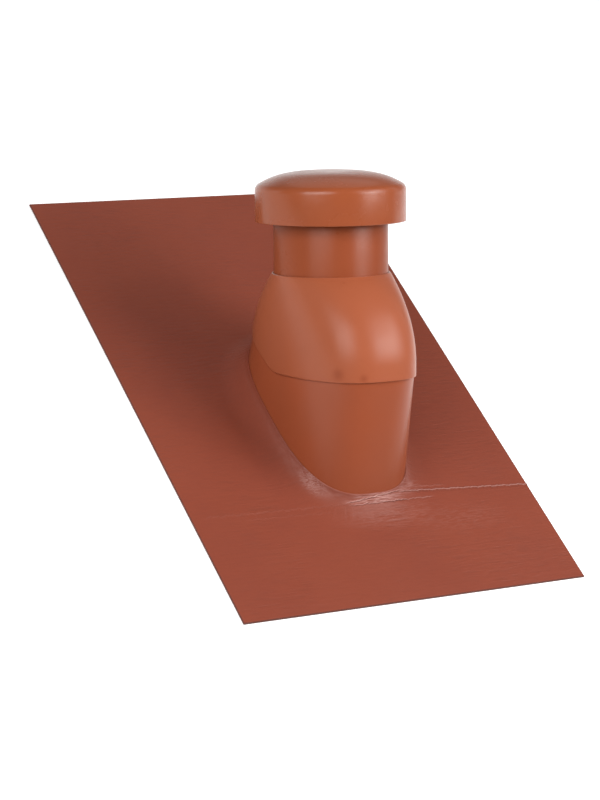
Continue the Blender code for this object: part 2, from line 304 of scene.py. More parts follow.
# A crease that wanders across the sheet between two ends: a low ridge with a furrow beside it, and its crest
# for a painted highlight
def makeCreaseLine():
    tree, given, made = newGroup(
        "crease line",
        {
            "Vector": (0, 0, 0),
            "Along": 0.0,
            "Slope": 0.0,
            "From": -0.2,
            "To": 0.2,
            "Wander": 0.004,
            "Width": 0.002,
        },
        {"Height": "Float", "CrestHighlight": "Float"},
    )
    place = partsOf(tree, given["Vector"])
    shift = times(tree, given["Along"], creaseShift)
    swing = 0.0
    for rate, phase, share in creaseWaves:
        turn = plus(tree, plus(tree, times(tree, place["X"], rate), phase), shift)
        swing = plus(tree, swing, times(tree, mathNode(tree, "SINE", turn), share))
    line = plus(tree, given["Along"], times(tree, place["X"], given["Slope"]))
    line = plus(tree, line, times(tree, swing, given["Wander"]))
    offset = mathNode(tree, "DIVIDE", minus(tree, place["Y"], line), given["Width"])

    def peakAt(spot):
        away = mathNode(tree, "ABSOLUTE", plus(tree, offset, spot))
        return minus(tree, 1.0, mathNode(tree, "MINIMUM", away, 1.0))

    ridge = peakAt(0.0)
    profile = minus(tree, ridge, times(tree, peakAt(furrowPlace), furrowDepth))
    entering = rampNode(tree, place["X"], given["From"], plus(tree, given["From"], creaseFade))
    leaving = rampNode(tree, place["X"], given["To"], minus(tree, given["To"], creaseFade))
    seen = times(tree, entering, leaving)
    feed(tree, made["Height"], times(tree, profile, seen))
    feed(tree, made["CrestHighlight"], times(tree, times(tree, ridge, ridge), seen))
    return tree


# Carries the lines drawn on the flat of the sheet up the cove, at a slant
def makeClimb():
    tree, given, made = newGroup(
        "climb",
        {"Vector": (0, 0, 0), "Level": 0.0025, "Across": 0.75, "Along": 0.85},
        {"Vector": "Vector"},
    )
    place = partsOf(tree, given["Vector"])
    raised = minus(tree, place["Z"], given["Level"])
    joined = newNode(tree, "ShaderNodeCombineXYZ")
    feed(tree, joined.inputs["X"], plus(tree, place["X"], times(tree, raised, given["Across"])))
    feed(tree, joined.inputs["Y"], plus(tree, place["Y"], times(tree, raised, given["Along"])))
    feed(tree, made["Vector"], joined.outputs["Vector"])
    return tree


# Crumpling that fades out from a middle point, with its crests for a painted highlight
def makeCrumple():
    tree, given, made = newGroup(
        "crumple",
        {"Vector": (0, 0, 0), "Middle": (0, 0, 0), "Reach": (0.05, 0.02, 1), "Grain": (60, 200, 1)},
        {"Height": "Float", "CrestHighlight": "Float"},
    )
    away = vectorNode(tree, "SUBTRACT", given["Vector"], given["Middle"])
    share = vectorNode(tree, "DIVIDE", away, given["Reach"])
    mask = rampNode(tree, vectorNode(tree, "LENGTH", share, result="Value"), 1.0, 0.15)
    grain = vectorNode(tree, "MULTIPLY", given["Vector"], given["Grain"])
    folds = cloudNode(tree, grain, Detail=3.0, Distortion=0.8)
    sharp = minus(tree, 0.5, mathNode(tree, "ABSOLUTE", minus(tree, folds, 0.5)))
    feed(tree, made["Height"], times(tree, sharp, mask))
    feed(tree, made["CrestHighlight"], times(tree, rampNode(tree, sharp, 0.42, 0.50), mask))
    return tree


# The sheet is painted paler up the cove against the foot, most of all in front: partly whitening where it
# was stretched, partly painted sheen
def makeStretchMarkAndSheen():
    tree, given, made = newGroup(
        "stretch mark and sheen",
        {
            "Vector": (0, 0, 0),
            "Flat": 0.006,
            "Raised": 0.019,
            "Back": -0.02,
            "Front": -0.17,
            "Grain": (45, 120, 320),
        },
        {"Mask": "Float"},
    )
    place = partsOf(tree, given["Vector"])
    raised = rampNode(tree, place["Z"], given["Flat"], given["Raised"])
    front = rampNode(tree, place["Y"], given["Back"], given["Front"])
    grain = vectorNode(tree, "MULTIPLY", given["Vector"], given["Grain"])
    uneven = rampNode(tree, cloudNode(tree, grain, Detail=4.0), 0.35, 0.70, 0.35, kind="LINEAR")
    feed(tree, made["Mask"], times(tree, times(tree, raised, front), uneven))
    return tree


# Painted shade along the sheet's cut outline: a thin band of the top and the cut sides is darkened
def makeEdgeShade():
    tree, given, made = newGroup(
        "edge shade",
        {"Vector": (0, 0, 0), "HalfWidth": 0.2, "HalfLength": 0.3, "Band": 0.001},
        {"Mask": "Float"},
    )
    place = partsOf(tree, given["Vector"])
    across = minus(tree, mathNode(tree, "ABSOLUTE", place["X"]), given["HalfWidth"])
    along = minus(tree, mathNode(tree, "ABSOLUTE", place["Y"]), given["HalfLength"])
    past = plus(tree, mathNode(tree, "MAXIMUM", across, along), given["Band"])
    feed(tree, made["Mask"], mathNode(tree, "GREATER_THAN", past, 0.0))
    return tree


# Soft painted shade for the dimples where a rib or a boss behind drew the wall in; the dimples themselves
# are not shaped
def makeSinkMarkShade():
    tree, given, made = newGroup(
        "sink mark shade",
        {"Vector": (0, 0, 0), "Middle": (0, 0, 0), "Reach": 0.006},
        {"Mask": "Float"},
    )
    gap = vectorNode(tree, "DISTANCE", given["Vector"], given["Middle"], result="Value")
    feed(tree, made["Mask"], rampNode(tree, gap, given["Reach"], 0.0))
    return tree


toneDrift = makeToneDrift()
rubbedGloss = makeRubbedGloss()
fineGrain = makeFineGrain()
creaseLine = makeCreaseLine()
climb = makeClimb()
crumple = makeCrumple()
stretchMarkAndSheen = makeStretchMarkAndSheen()
paintedShade = makeEdgeShade()
sinkMarkShade = makeSinkMarkShade()


def newMaterial(name):
    material = bpy.data.materials.new(name)
    material.use_nodes = True
    tree = material.node_tree
    return material, tree, tree.nodes["Principled BSDF"]


# Tone, gloss and shine are laid on alike for every piece
def baseTone(tree, shader, place, look):
    gloss = placeGroup(
        tree, rubbedGloss, Vector=place, Scale=look["glossScale"],
        Glossy=look["glossy"], Dull=look["dull"],
    )
    feed(tree, shader.inputs["Roughness"], gloss["Roughness"])
    shader.inputs["Specular IOR Level"].default_value = look["shine"]
    tone = placeGroup(
        tree, toneDrift, Vector=place, Scale=look["driftScale"],
        Base=look["colour"], Drift=look["driftColour"], Amount=look["driftAmount"],
    )
    return tone["Color"]


def bumpUp(tree, shader, height, strength, distance):
    bump = newNode(tree, "ShaderNodeBump")
    bump.inputs["Strength"].default_value = strength
    bump.inputs["Distance"].default_value = distance
    feed(tree, bump.inputs["Height"], height)
    feed(tree, shader.inputs["Normal"], bump.outputs["Normal"])


def mouldedPlastic(name, look):
    material, tree, shader = newMaterial(name)
    place = newNode(tree, "ShaderNodeTexCoord").outputs["Object"]
    colour = baseTone(tree, shader, place, look)
    # Sink marks are darkened: painted shade
    for spot, reach, darkening in look["shadedSinkMarks"]:
        mark = placeGroup(tree, sinkMarkShade, Vector=place, Middle=spot, Reach=reach)
        colour = mixNode(tree, times(tree, mark["Mask"], darkening), colour, look["sinkShadeColour"])
    feed(tree, shader.inputs["Base Color"], colour)
    grain = placeGroup(
        tree, fineGrain, Vector=place, Scale=look["grainScale"],
        WaveScale=look["waveScale"], Waviness=look["waviness"],
    )
    bumpUp(tree, shader, grain["Height"], look["grainStrength"], look["grainDepth"])
    return material


hoodLook = {
    "colour": (0.262, 0.0575, 0.0215, 1),
    "driftColour": (0.240, 0.0540, 0.0205, 1),
    "driftScale": 14.0,
    "driftAmount": 0.6,
    "shine": 0.25,
    "glossScale": 30.0,
    "glossy": 0.30,
    "dull": 0.38,
    "grainScale": 1400.0,
    "waveScale": 26.0,
    "waviness": 3.0,
    "grainStrength": 0.25,
    "grainDepth": 0.00008,
    "sinkShadeColour": (0.185, 0.036, 0.014, 1),
    "shadedSinkMarks": [],
}
headLook = dict(
    hoodLook,
    colour=(0.292, 0.0750, 0.0325, 1),
    driftColour=(0.272, 0.0705, 0.0315, 1),
    shine=0.19,
    # Each sink mark, painted as soft shade: middle, reach, darkening
    shadedSinkMarks=[
        ((-0.0492, -0.1168, 0.1350), 0.0105, 0.50),
        ((-0.0270, -0.1327, 0.1420), 0.0075, 0.45),
        ((-0.0235, -0.0357, 0.1919), 0.0030, 0.30),
    ],
)
pipeLook = dict(
    hoodLook,
    colour=(0.222, 0.0500, 0.0185, 1),
    driftColour=(0.208, 0.0470, 0.0180, 1),
    shine=0.11,
    glossy=0.26,
    dull=0.36,
)
capLook = dict(
    hoodLook,
    colour=(0.246, 0.0580, 0.0205, 1),
    driftColour=(0.226, 0.0530, 0.0190, 1),
    shine=0.26,
    glossy=0.22,
    dull=0.30,
)
hoodPlastic = mouldedPlastic("base shell plastic", hoodLook)
headPlastic = mouldedPlastic("head shell plastic", headLook)
pipePlastic = mouldedPlastic("pipe plastic", pipeLook)
capPlastic = mouldedPlastic("cap plastic", capLook)

flashingLook = {
    "colour": (0.203, 0.0470, 0.0265, 1),
    "driftColour": (0.184, 0.0430, 0.0260, 1),
    "driftScale": 7.0,
    "driftAmount": 0.6,
    "shine": 0.10,
    "glossScale": 22.0,
    "glossy": 0.36,
    "dull": 0.48,
    "crepeGrain": (48.0, 300.0, 48.0),
    "crepeDepth": 0.00088,
    "patchScale": 9.0,
    "leastCrepe": 0.40,
    "grainScale": 1100.0,
    "grainDepth": 0.00006,
    # Paler colour for the cove and the crests: partly whitening, partly painted sheen and highlight
    "whiteningAndHighlightColour": (0.52, 0.30, 0.27, 1),
    "stretchPalingAndSheen": 0.17,
    "furrowShade": 0.16,
    "bumpShare": 0.6,
    # Colour of the painted shade along the cut outline and in the crepe furrows
    "paintedShade": (0.115, 0.038, 0.027, 1),
    "cutBand": 0.0008,
}

# How far lines shift up the cove for each metre of its height: across, along
climbing = (0.75, 0.85)

# Each crease: line at X = 0, slope, from X, to X, wander, width, depth, paling of the crest (painted
# highlight, partly whitening)
creases = {
    "right": (-0.1722, -0.066, 0.040, 0.30, 0.0008, 0.0017, 0.0007, 0.52),
    "rightBranch": (-0.1880, 0.000, 0.030, 0.090, 0.0010, 0.0014, 0.0004, 0.35),
    "rightUpper": (-0.1660, -0.070, 0.056, 0.115, 0.0010, 0.0016, 0.0002, 0.10),
    "left": (-0.1855, -0.018, -0.205, -0.014, 0.0018, 0.0020, 0.00012, 0.03),
    "leftLower": (-0.1960, -0.030, -0.160, -0.040, 0.0014, 0.0018, 0.00008, 0.02),
    "frontShort": (-0.1808, 0.145, -0.030, 0.060, 0.0008, 0.0013, 0.0004, 0.55),
    "frontLong": (-0.1880, 0.010, -0.026, 0.057, 0.0010, 0.0014, 0.0004, 0.42),
}

# Each crumpled place: middle, reach, grain, depth, paling of the crests (painted highlight, partly
# whitening)
crumples = {
    "front": ((0.016, -0.181), (0.046, 0.012), (34.0, 330.0), 0.0009, 0.48),
    "frontLeft": ((-0.050, -0.146), (0.018, 0.030), (110.0, 260.0), 0.0004, 0.32),
    "frontRight": ((0.060, -0.168), (0.024, 0.018), (50.0, 300.0), 0.0006, 0.22),
    "belowFoot": ((0.030, -0.207), (0.090, 0.028), (42.0, 300.0), 0.0005, 0.07),
    "rightFlat": ((0.105, -0.222), (0.080, 0.028), (44.0, 280.0), 0.0004, 0.05),
}


def makeFlashingSkin(look):
    material, tree, shader = newMaterial("malleable flashing")
    place = newNode(tree, "ShaderNodeTexCoord").outputs["Object"]
    tone = baseTone(tree, shader, place, look)

    # Creping runs across the whole sheet, stronger in patches
    drawnOut = vectorNode(tree, "MULTIPLY", place, look["crepeGrain"])
    crepe = cloudNode(tree, drawnOut, Detail=4.0, Distortion=0.35)
    patches = cloudNode(tree, place, look["patchScale"], Detail=2.0)
    creped = rampNode(tree, patches, 0.40, 0.62, look["leastCrepe"])
    height = times(tree, times(tree, crepe, look["crepeDepth"]), creped)
    grain = placeGroup(tree, fineGrain, Vector=place, Scale=look["grainScale"], Waviness=0.0)
    height = plus(tree, height, times(tree, grain["Height"], look["grainDepth"]))

    climbed = placeGroup(
        tree, climb, Vector=place, Level=roof["sheetThickness"], Across=climbing[0], Along=climbing[1],
    )["Vector"]
    # Paler up the cove in front: partly stretch whitening, partly painted sheen
    whiteningAndHighlight = times(tree, placeGroup(tree, stretchMarkAndSheen, Vector=place)["Mask"], look["stretchPalingAndSheen"])
    wrinkles = []
    for line, slope, begin, finish, wander, width, depth, crestHighlight in creases.values():
        crease = placeGroup(
            tree, creaseLine, Vector=climbed, Along=line, Slope=slope,
            From=begin, To=finish, Wander=wander, Width=width,
        )
        wrinkles.append((crease, depth, crestHighlight))
    for middle, reach, folds, depth, crestHighlight in crumples.values():
        spot = placeGroup(
            tree, crumple, Vector=climbed, Middle=(*middle, 0), Reach=(*reach, 1), Grain=(*folds, 0),
        )
        wrinkles.append((spot, depth, crestHighlight))
    # Crests are painted paler: painted highlight on the ridges, partly whitening where the sheet was folded
    for wrinkle, depth, crestHighlight in wrinkles:
        height = plus(tree, height, times(tree, wrinkle["Height"], depth * look["bumpShare"]))
        whiteningAndHighlight = plus(tree, whiteningAndHighlight, times(tree, wrinkle["CrestHighlight"], crestHighlight))

    # Painted shade: the furrows of the creping are darkened, more in the stronger patches
    shade = rampNode(tree, crepe, 0.32, 0.52, look["furrowShade"], 0.0, "LINEAR")
    colour = mixNode(tree, times(tree, shade, creped), tone, look["paintedShade"])
    colour = mixNode(tree, whiteningAndHighlight, colour, look["whiteningAndHighlightColour"])
    # Painted shade along the sheet's cut outline
    rim = placeGroup(
        tree, paintedShade, Vector=place, HalfWidth=sheetHigh.x, HalfLength=sheetHigh.y, Band=look["cutBand"],
    )
    feed(tree, shader.inputs["Base Color"], mixNode(tree, rim["Mask"], colour, look["paintedShade"]))
    bumpUp(tree, shader, height, 1.0, 1.0)
    return material


flashingSkin = makeFlashingSkin(flashingLook)


# Vent pipe

pipe = {
    "radius": 0.0633,
    "wall": 0.003,
    "floorClearance": 0.003,
    "collarHeight": 0.1915,
    "shown": 0.0566,
    "intoCap": 0.016,
    "edgeRound": 0.0006,
    "columns": 160,
}
pipe["rimOfCap"] = pipe["collarHeight"] + pipe["shown"]
pipe["top"] = pipe["rimOfCap"] + pipe["intoCap"]
pipe["bottom"] = (pipe["radius"] * sin(roof["pitch"]) + pipe["floorClearance"]) / cos(roof["pitch"])


def makeVentPipe():
    inner = pipe["radius"] - pipe["wall"]
    profile = [
        (pipe["radius"], pipe["bottom"]),
        (pipe["radius"], pipe["top"]),
        (inner, pipe["top"]),
        (inner, pipe["bottom"]),
    ]
    bm = spunShell(profile, pipe["columns"])
    roundEdges(bm, pipe["edgeRound"], 2)
    finishPiece("ventPipe", bm, pipePlastic, "vent_pipe", headPlace)


# Rain cap

cap = {
    "airGap": 0.0181,
    "wall": 0.002,
    "side": 0.034,
    "shoulder": 0.009,
    "domeRise": 0.0132,
    "domeFullness": 3.4,
    "lipRound": 0.0009,
    "ribs": 4,
    "ribThickness": 0.0025,
    "hub": 0.012,
    "tongue": 0.018,
    "tongueClearance": 0.0008,
    "ribSeatGap": 0.0003,
    "ribIntoWall": 0.001,
    "ribDrops": (0.0005, 0.0035),
    "ribMiddle": 0.55,
    "ribEdgeDrop": 0.8,
    "outerSteps": (14, 24),
    "innerSteps": (8, 14),
    "lipSteps": 4,
    "columns": 192,
}
cap["radius"] = pipe["radius"] + cap["airGap"] + cap["wall"]


# The dome falls away faster towards its edge than a ball would. Steps are those of shoulder and dome.
def capProfile(inset, steps):
    shoulderSteps, domeSteps = steps
    domeEdge = cap["radius"] - cap["shoulder"]
    domeSlope = atan(cap["domeFullness"] * cap["domeRise"] / domeEdge)
    centre = (domeEdge, cap["side"])
    points = arcPoints(centre, cap["shoulder"] - inset, 0, pi / 2 - domeSlope, shoulderSteps)
    startRadius, startHeight = points[-1]
    rise = startRadius * tan(domeSlope) / cap["domeFullness"]
    for step in range(1, domeSteps + 1):
        share = 1 - step / domeSteps
        points.append((startRadius * share, startHeight + rise * (1 - share ** cap["domeFullness"])))
    return points


def makeRainCap():
    outer = capProfile(0, cap["outerSteps"])
    inner = capProfile(cap["wall"], cap["innerSteps"])
    lip, lipSteps = cap["lipRound"], cap["lipSteps"]
    edge = arcPoints((cap["radius"] - lip, lip), lip, 0, -pi / 2, lipSteps)
    innerEdge = arcPoints((cap["radius"] - cap["wall"] + lip, lip), lip, -pi / 2, -pi, lipSteps)
    profile = outer[::-1] + edge + innerEdge + inner
    profile = [(radius, height + pipe["rimOfCap"]) for radius, height in profile]
    bm = spunShell(profile, cap["columns"], closed=False)
    addRibs(bm)
    finishPiece("rainCap", bm, capPlastic, "rain_cap", headPlace)


# Four ribs under the dome, each with a tongue down the pipe's bore, joined by a round hub
def addRibs(bm):
    seat = pipe["top"] + cap["ribSeatGap"]
    ceiling = pipe["rimOfCap"] + capProfile(cap["wall"], cap["innerSteps"])[-1][1]
    wallMiddle = cap["radius"] - cap["wall"] + cap["ribIntoWall"]
    tongueRadius = pipe["radius"] - pipe["wall"] - cap["tongueClearance"]
    webEnd = cap["radius"] - cap["shoulder"]
    webTop = ceiling - cap["domeRise"] * cap["ribEdgeDrop"]
    outline = [
        (cap["hub"] / 2, ceiling - cap["ribDrops"][0]),
        (webEnd * cap["ribMiddle"], ceiling - cap["ribDrops"][1]),
        (webEnd, webTop),
        (wallMiddle, pipe["rimOfCap"] + cap["side"]),
        (wallMiddle, seat),
        (tongueRadius, seat),
        (tongueRadius, seat - cap["tongue"]),
        (tongueRadius - cap["tongue"] / 2, seat - cap["tongue"]),
        (cap["hub"] / 2, seat),
    ]
    for rib in range(cap["ribs"]):
        turn = Matrix.Rotation((rib + 0.5) * 2 * pi / cap["ribs"], 3, "Z")
        verts = [bm.verts.new(turn @ Vector((r, -cap["ribThickness"] / 2, z))) for r, z in outline]
        face = bm.faces.new(verts)
        pulled = bmesh.ops.extrude_face_region(bm, geom=[face])["geom"]
        lifted = [item for item in pulled if isinstance(item, bmesh.types.BMVert)]
        bmesh.ops.translate(bm, vec=turn @ Vector((0, cap["ribThickness"], 0)), verts=lifted)
        ribFaces = {f for v in verts + lifted for f in v.link_faces}
        bmesh.ops.recalc_face_normals(bm, faces=list(ribFaces))
    bmesh.ops.create_cone(
        bm, cap_ends=True, segments=48, radius1=cap["hub"], radius2=cap["hub"], depth=ceiling - seat,
        matrix=Matrix.Translation((0, 0, (ceiling + seat) / 2)),
    )


# Head shell

head = {
    "gap": 0.0003,
    "collarWall": 0.0022,
    "wall": 0.002,
    "sideSwell": 0.0028,
    "endSwell": 0.0511,
    "squareness": 2.7,
    "shift": -0.0014,
    "rimHeight": 0.083,
    "straight": 0.0155,
    "arcShare": 0.66,
    "rearSlope": roof["pitch"] - radians(9.7),
    "knee": 0.0104,
    "kneeRound": 0.005,
    "sleeve": 0.018,
    "lipRound": 0.0008,
    "lipSteps": 4,
    "collarRound": 0.0006,
    "boreRound": 0.0004,
    "rimPasses": 30,
    "columns": 192,
    "rows": 44,
    "innerRowsUpTo": 0.8,
}
head["bore"] = pipe["radius"] + head["gap"]
head["collar"] = head["bore"] + head["collarWall"]
head["skirtTop"] = head["rimHeight"] + head["straight"]


def headSwell(height):
    share = min(max((height - head["skirtTop"]) / (pipe["collarHeight"] - head["skirtTop"]), 0.0), 1.0)
    flat = sqrt(1 - head["arcShare"] ** 2)
    return (sqrt(1 - (head["arcShare"] * share) ** 2) - flat) / (1 - flat)


def headPoint(turn, height):
    swell = headSwell(height)
    halfWidth = head["collar"] + head["sideSwell"] * swell
    halfLength = head["collar"] + head["endSwell"] * swell
    squareness = 2 + (head["squareness"] - 2) * swell
    return ovalPoint(turn, halfWidth, halfLength, squareness, head["shift"] * swell, height)


def headNormal(turn, height):
    step = 0.0005
    around = headPoint(turn + step, height) - headPoint(turn - step, height)
    low = max(height - step, head["rimHeight"])
    up = headPoint(turn, low + step) - headPoint(turn, low)
    return around.cross(up).normalized()


def rimHeight(y):
    past = y - head["knee"]
    rounded = (past + sqrt(past ** 2 + head["kneeRound"] ** 2)) / 2
    return head["rimHeight"] + tan(head["rearSlope"]) * rounded


def rimLevel(turn):
    height = head["rimHeight"]
    for _ in range(head["rimPasses"]):
        height = rimHeight(headPoint(turn, height).y)
    return height


def headRow(levels, share, inset):
    ring = []
    for turn, low in levels:
        height = low + (pipe["collarHeight"] - low) * share
        ring.append(headPoint(turn, height) - inset * headNormal(turn, height))
    return ring


def levelCircle(radius, height, columns):
    return [Vector((radius * cos(turn), radius * sin(turn), height)) for turn in turnsRound(columns)]


def makeUpperHood():
    columns, rows, lip = head["columns"], head["rows"], head["lipRound"]
    levels = [(turn, rimLevel(turn)) for turn in turnsRound(columns)]
    top = pipe["collarHeight"]

    def lipRow(inset, lift):
        ring = []
        for turn, low in levels:
            point = headPoint(turn, low + lip) - inset * headNormal(turn, low + lip)
            point.z = low + lift
            ring.append(point)
        return ring

    lipTurns = [pi / 2 * step / head["lipSteps"] for step in range(head["lipSteps"] + 1)]
    lipRows = [lipRow(head["wall"] - lip + lip * sin(a), lip * (1 - cos(a))) for a in reversed(lipTurns)]
    lipRows += [lipRow(lip - lip * sin(a), lip * (1 - cos(a))) for a in lipTurns]
    shares = [row / rows for row in range(1, rows)]
    outer = [headRow(levels, share, 0) for share in shares]
    edgeRound, boreRound = head["collarRound"], head["boreRound"]
    collar = [
        levelCircle(head["collar"], top - edgeRound, columns),
        levelCircle(head["collar"] - edgeRound / 3, top - edgeRound / 3, columns),
        levelCircle(head["collar"] - edgeRound, top, columns),
        levelCircle(head["bore"] + boreRound, top, columns),
        levelCircle(head["bore"], top - boreRound, columns),
        levelCircle(head["bore"], top - head["sleeve"], columns),
        levelCircle(head["bore"] + head["wall"], top - head["sleeve"], columns),
    ]
    innerShares = [share for share in shares[::3] if share < head["innerRowsUpTo"]]
    inner = [headRow(levels, share, head["wall"]) for share in reversed(innerShares)]
    bm = shellOfRings(lipRows + outer + collar + inner)
    finishPiece("upperHood", bm, headPlastic, "upper_hood", headPlace)


# Base shell

base = {
    "skirtGap": 0.0004,
    "sideFlare": 0.006,
    "endFlare": 0.0131,
    "squareness": 2.8,
    "shift": 0.0225,
    "spigot": 0.010,
    "spigotEase": 0.0004,
    "flange": 0.020,
    "flangeThickness": 0.002,
    "columns": 192,
    "rows": 24,
}
base["inset"] = head["wall"] + base["skirtGap"]
base["halfWidth"] = head["collar"] + head["sideSwell"] - base["inset"] + base["sideFlare"]
base["halfLength"] = head["collar"] + head["endSwell"] - base["inset"] + base["endFlare"]
base["middleY"] = axisY + base["shift"]


def baseTop(turn, ease=0.0, rise=0.0):
    height = rimLevel(turn) + rise
    return headPlace @ (headPoint(turn, height) - (base["inset"] + ease) * headNormal(turn, height))


def footPoint(turn):
    return ovalPoint(turn, base["halfWidth"], base["halfLength"], base["squareness"], base["middleY"], 0)


def footNormal(turn):
    return ovalNormal(turn, base["halfWidth"], base["halfLength"], base["squareness"])


def baseColumns(columns):
    return [(footPoint(turn), baseTop(turn), footNormal(turn)) for turn in turnsRound(columns)]


def baseRow(lines, share, outset):
    return [foot.lerp(top, share) + outset * out for foot, top, out in lines]


def wallRow(lines, height, outset):
    return [foot.lerp(top, height / top.z) + outset * out for foot, top, out in lines]


def makeLowerHood():
    lines = baseColumns(base["columns"])
    turns = turnsRound(base["columns"])
    shares = [row / base["rows"] for row in range(1, base["rows"] + 1)]
    outer = [baseRow(lines, share, 0) for share in shares]
    inner = [baseRow(lines, share, -head["wall"]) for share in reversed(shares[::4])]
    eases = (base["spigotEase"], base["spigotEase"] + head["wall"])
    spigot = [[baseTop(turn, ease, base["spigot"]) for turn in turns] for ease in eases]
    foot = [
        wallRow(lines, 0, -head["wall"]),
        wallRow(lines, 0, base["flange"]),
        wallRow(lines, base["flangeThickness"], base["flange"]),
        wallRow(lines, base["flangeThickness"], 0),
    ]
    bm = shellOfRings(foot + outer + spigot + inner)
    finishPiece("lowerHood", bm, hoodPlastic, "lower_hood")


# Flashing: a soft sheet dressed up against the foot in a wide cove, pleated in front

flashing = {
    "columns": 560,
    "upstand": 0.0195,
    "gap": 0.0001,
    "lip": 0.0011,
    "coveReach": 0.031,
    "coveRows": 22,
    "flangeRise": 0.0023,
    "sheetRows": 44,
    "sheetCrowding": 1.4,
    "lipSteps": 6,
    "pleatDepth": 0.00012,
    "pleatGrain": 230.0,
    "pleatWaves": ((1.0, 1.0, 0), (2.1, 0.7, 7), (0.45, 0.5, 3)),   # rate, share, shift
    "pleatMiddle": 0.38,
    "pleatSpread": 0.26,
    "leastPleat": 0.25,
    "pleatTurn": 1.3,
    "swell": 0.0004,
    "swellGrain": 7.0,
    "swellStretch": 1.3,
    "swellLift": 0.6,
    "edgeCalm": 8,          # the swell fades out over this part of the way to the edge
    "meshSteps": (0.0024, 0.0012, 0.0010),
    "meshMargin": 2.5,
    "crumpleShare": 0.35,
    "crumpleFade": 0.85,
    "foldSharpness": 2.6,
    "fold": 0.0006,
    "foldFromLowerEdge": 0.1445,
    "foldWidth": 0.018,
    "edgeRound": 0.0005,
}


def smoothStep(share):
    share = min(max(share, 0.0), 1.0)
    return share * share * (3 - 2 * share)


def sheetEdge(lines, height, inset=0.0):
    middle = Vector((0, base["middleY"], height))
    low, high = sheetLow + Vector((inset, inset, 0)), sheetHigh - Vector((inset, inset, 0))
    points = []
    for foot, _, _ in lines:
        aim = foot - middle
        room = high.y - middle.y if aim.y > 0 else middle.y - low.y
        reach = 1 / max(abs(aim.x) / high.x, abs(aim.y) / room)
        points.append(Vector((aim.x * reach, middle.y + aim.y * reach, height)))
    for x in (low.x, high.x):
        for y in (low.y, high.y):
            corner = Vector((x, y, height))
            nearest = min(range(len(points)), key=lambda i: (points[i] - corner).length)
            points[nearest] = corner
    return points


# Pleats gathered round the cove: deepest in front, where the sheet turns up most
def pleatLift(foot, reach):
    spot = Vector((foot.x, foot.y, 0)) * flashing["pleatGrain"]
    ripple = sum(
        share * noise.noise(spot * rate + Vector((0, 0, shift)))
        for rate, share, shift in flashing["pleatWaves"]
    )
    least = flashing["leastPleat"]
    ahead = smoothStep((base["middleY"] - foot.y) / base["halfLength"] * flashing["pleatTurn"])
    fade = exp(-((reach - flashing["pleatMiddle"]) / flashing["pleatSpread"]) ** 2)
    return ripple * (least + (1 - least) * ahead) * flashing["pleatDepth"] * fade


# The flat of the sheet is never quite flat: slow swells, and the fold it was packed along
def sheetLift(point):
    slow = noise.noise(Vector((point.x, point.y * flashing["swellStretch"], 0.5)) * flashing["swellGrain"])
    foldY = sheetLow.y + flashing["foldFromLowerEdge"]
    fold = exp(-abs(point.y - foldY) / flashing["foldWidth"])
    return flashing["swell"] * (slow + flashing["swellLift"]) + flashing["fold"] * fold


# The creases and crumples again, now for the mesh
def creaseLift(x, y):
    lift = 0.0
    for line, slope, begin, finish, wander, width, depth, _ in creases.values():
        seen = smoothStep((x - begin) / creaseFade) * smoothStep((finish - x) / creaseFade)
        swing = sum(share * sin(rate * x + phase + line * creaseShift) for rate, phase, share in creaseWaves)
        offset = (y - line - slope * x - wander * swing) / width
        furrow = max(0.0, 1 - abs(offset + furrowPlace))
        lift += (max(0.0, 1 - abs(offset)) - furrowDepth * furrow) * depth * seen
    return lift


def crumpleLift(x, y):
    lift = 0.0
    for middle, reach, folds, depth, _ in crumples.values():
        away = Vector(((x - middle[0]) / reach[0], (y - middle[1]) / reach[1])).length
        if away < 1:
            fold = noise.noise(Vector((x * folds[0], y * folds[1], 0)))
            ridge = max(0.0, 1 - flashing["foldSharpness"] * abs(fold))
            lift += ridge * smoothStep((1 - away) / flashing["crumpleFade"]) * depth
    return lift * flashing["crumpleShare"]


# Where a crease or a crumpled place has to be meshed more finely than the rest of the sheet
def isWrinkled(x, y):
    for line, slope, begin, finish, wander, width, _, _ in creases.values():
        if begin < x < finish and abs(y - line - slope * x) < wander + flashing["meshMargin"] * width:
            return True
    return any(
        abs(x - middle[0]) < reach[0] and abs(y - middle[1]) < reach[1]
        for middle, reach, _, _, _ in crumples.values()
    )


def climbedPlace(point):
    raised = point.z - roof["sheetThickness"]
    return point.x + climbing[0] * raised, point.y + climbing[1] * raised


# Meshes the wrinkled places finely, then lifts them. Only the sheet's upper side is touched.
def pressWrinkles(bm):
    level = roof["sheetThickness"] - flashing["edgeRound"] * 0.6
    for longest in flashing["meshSteps"]:
        edges = []
        for edge in bm.edges:
            low, high = edge.verts[0].co, edge.verts[1].co
            if low.z > level and high.z > level and edge.calc_length() > longest:
                if isWrinkled(*climbedPlace((low + high) / 2)):
                    edges.append(edge)
        bmesh.ops.subdivide_edges(bm, edges=edges, cuts=1, use_grid_fill=True)
    # Faces with a corner in the middle of a side would fold into slivers
    straight = radians(175)
    uneven = [
        face for face in bm.faces
        if len(face.verts) > 4 or max(loop.calc_angle() for loop in face.loops) > straight
    ]
    split = bmesh.ops.triangulate(bm, faces=uneven, quad_method="BEAUTY", ngon_method="BEAUTY")
    bmesh.ops.beautify_fill(bm, faces=split["faces"], edges=split["edges"], method="ANGLE")
    bm.normal_update()
    moves = []
    for vert in bm.verts:
        if vert.co.z > level and vert.normal.z > 0.1:
            x, y = climbedPlace(vert.co)
            moves.append((vert, vert.normal * (creaseLift(x, y) + crumpleLift(x, y))))
    for vert, move in moves:
        vert.co += move


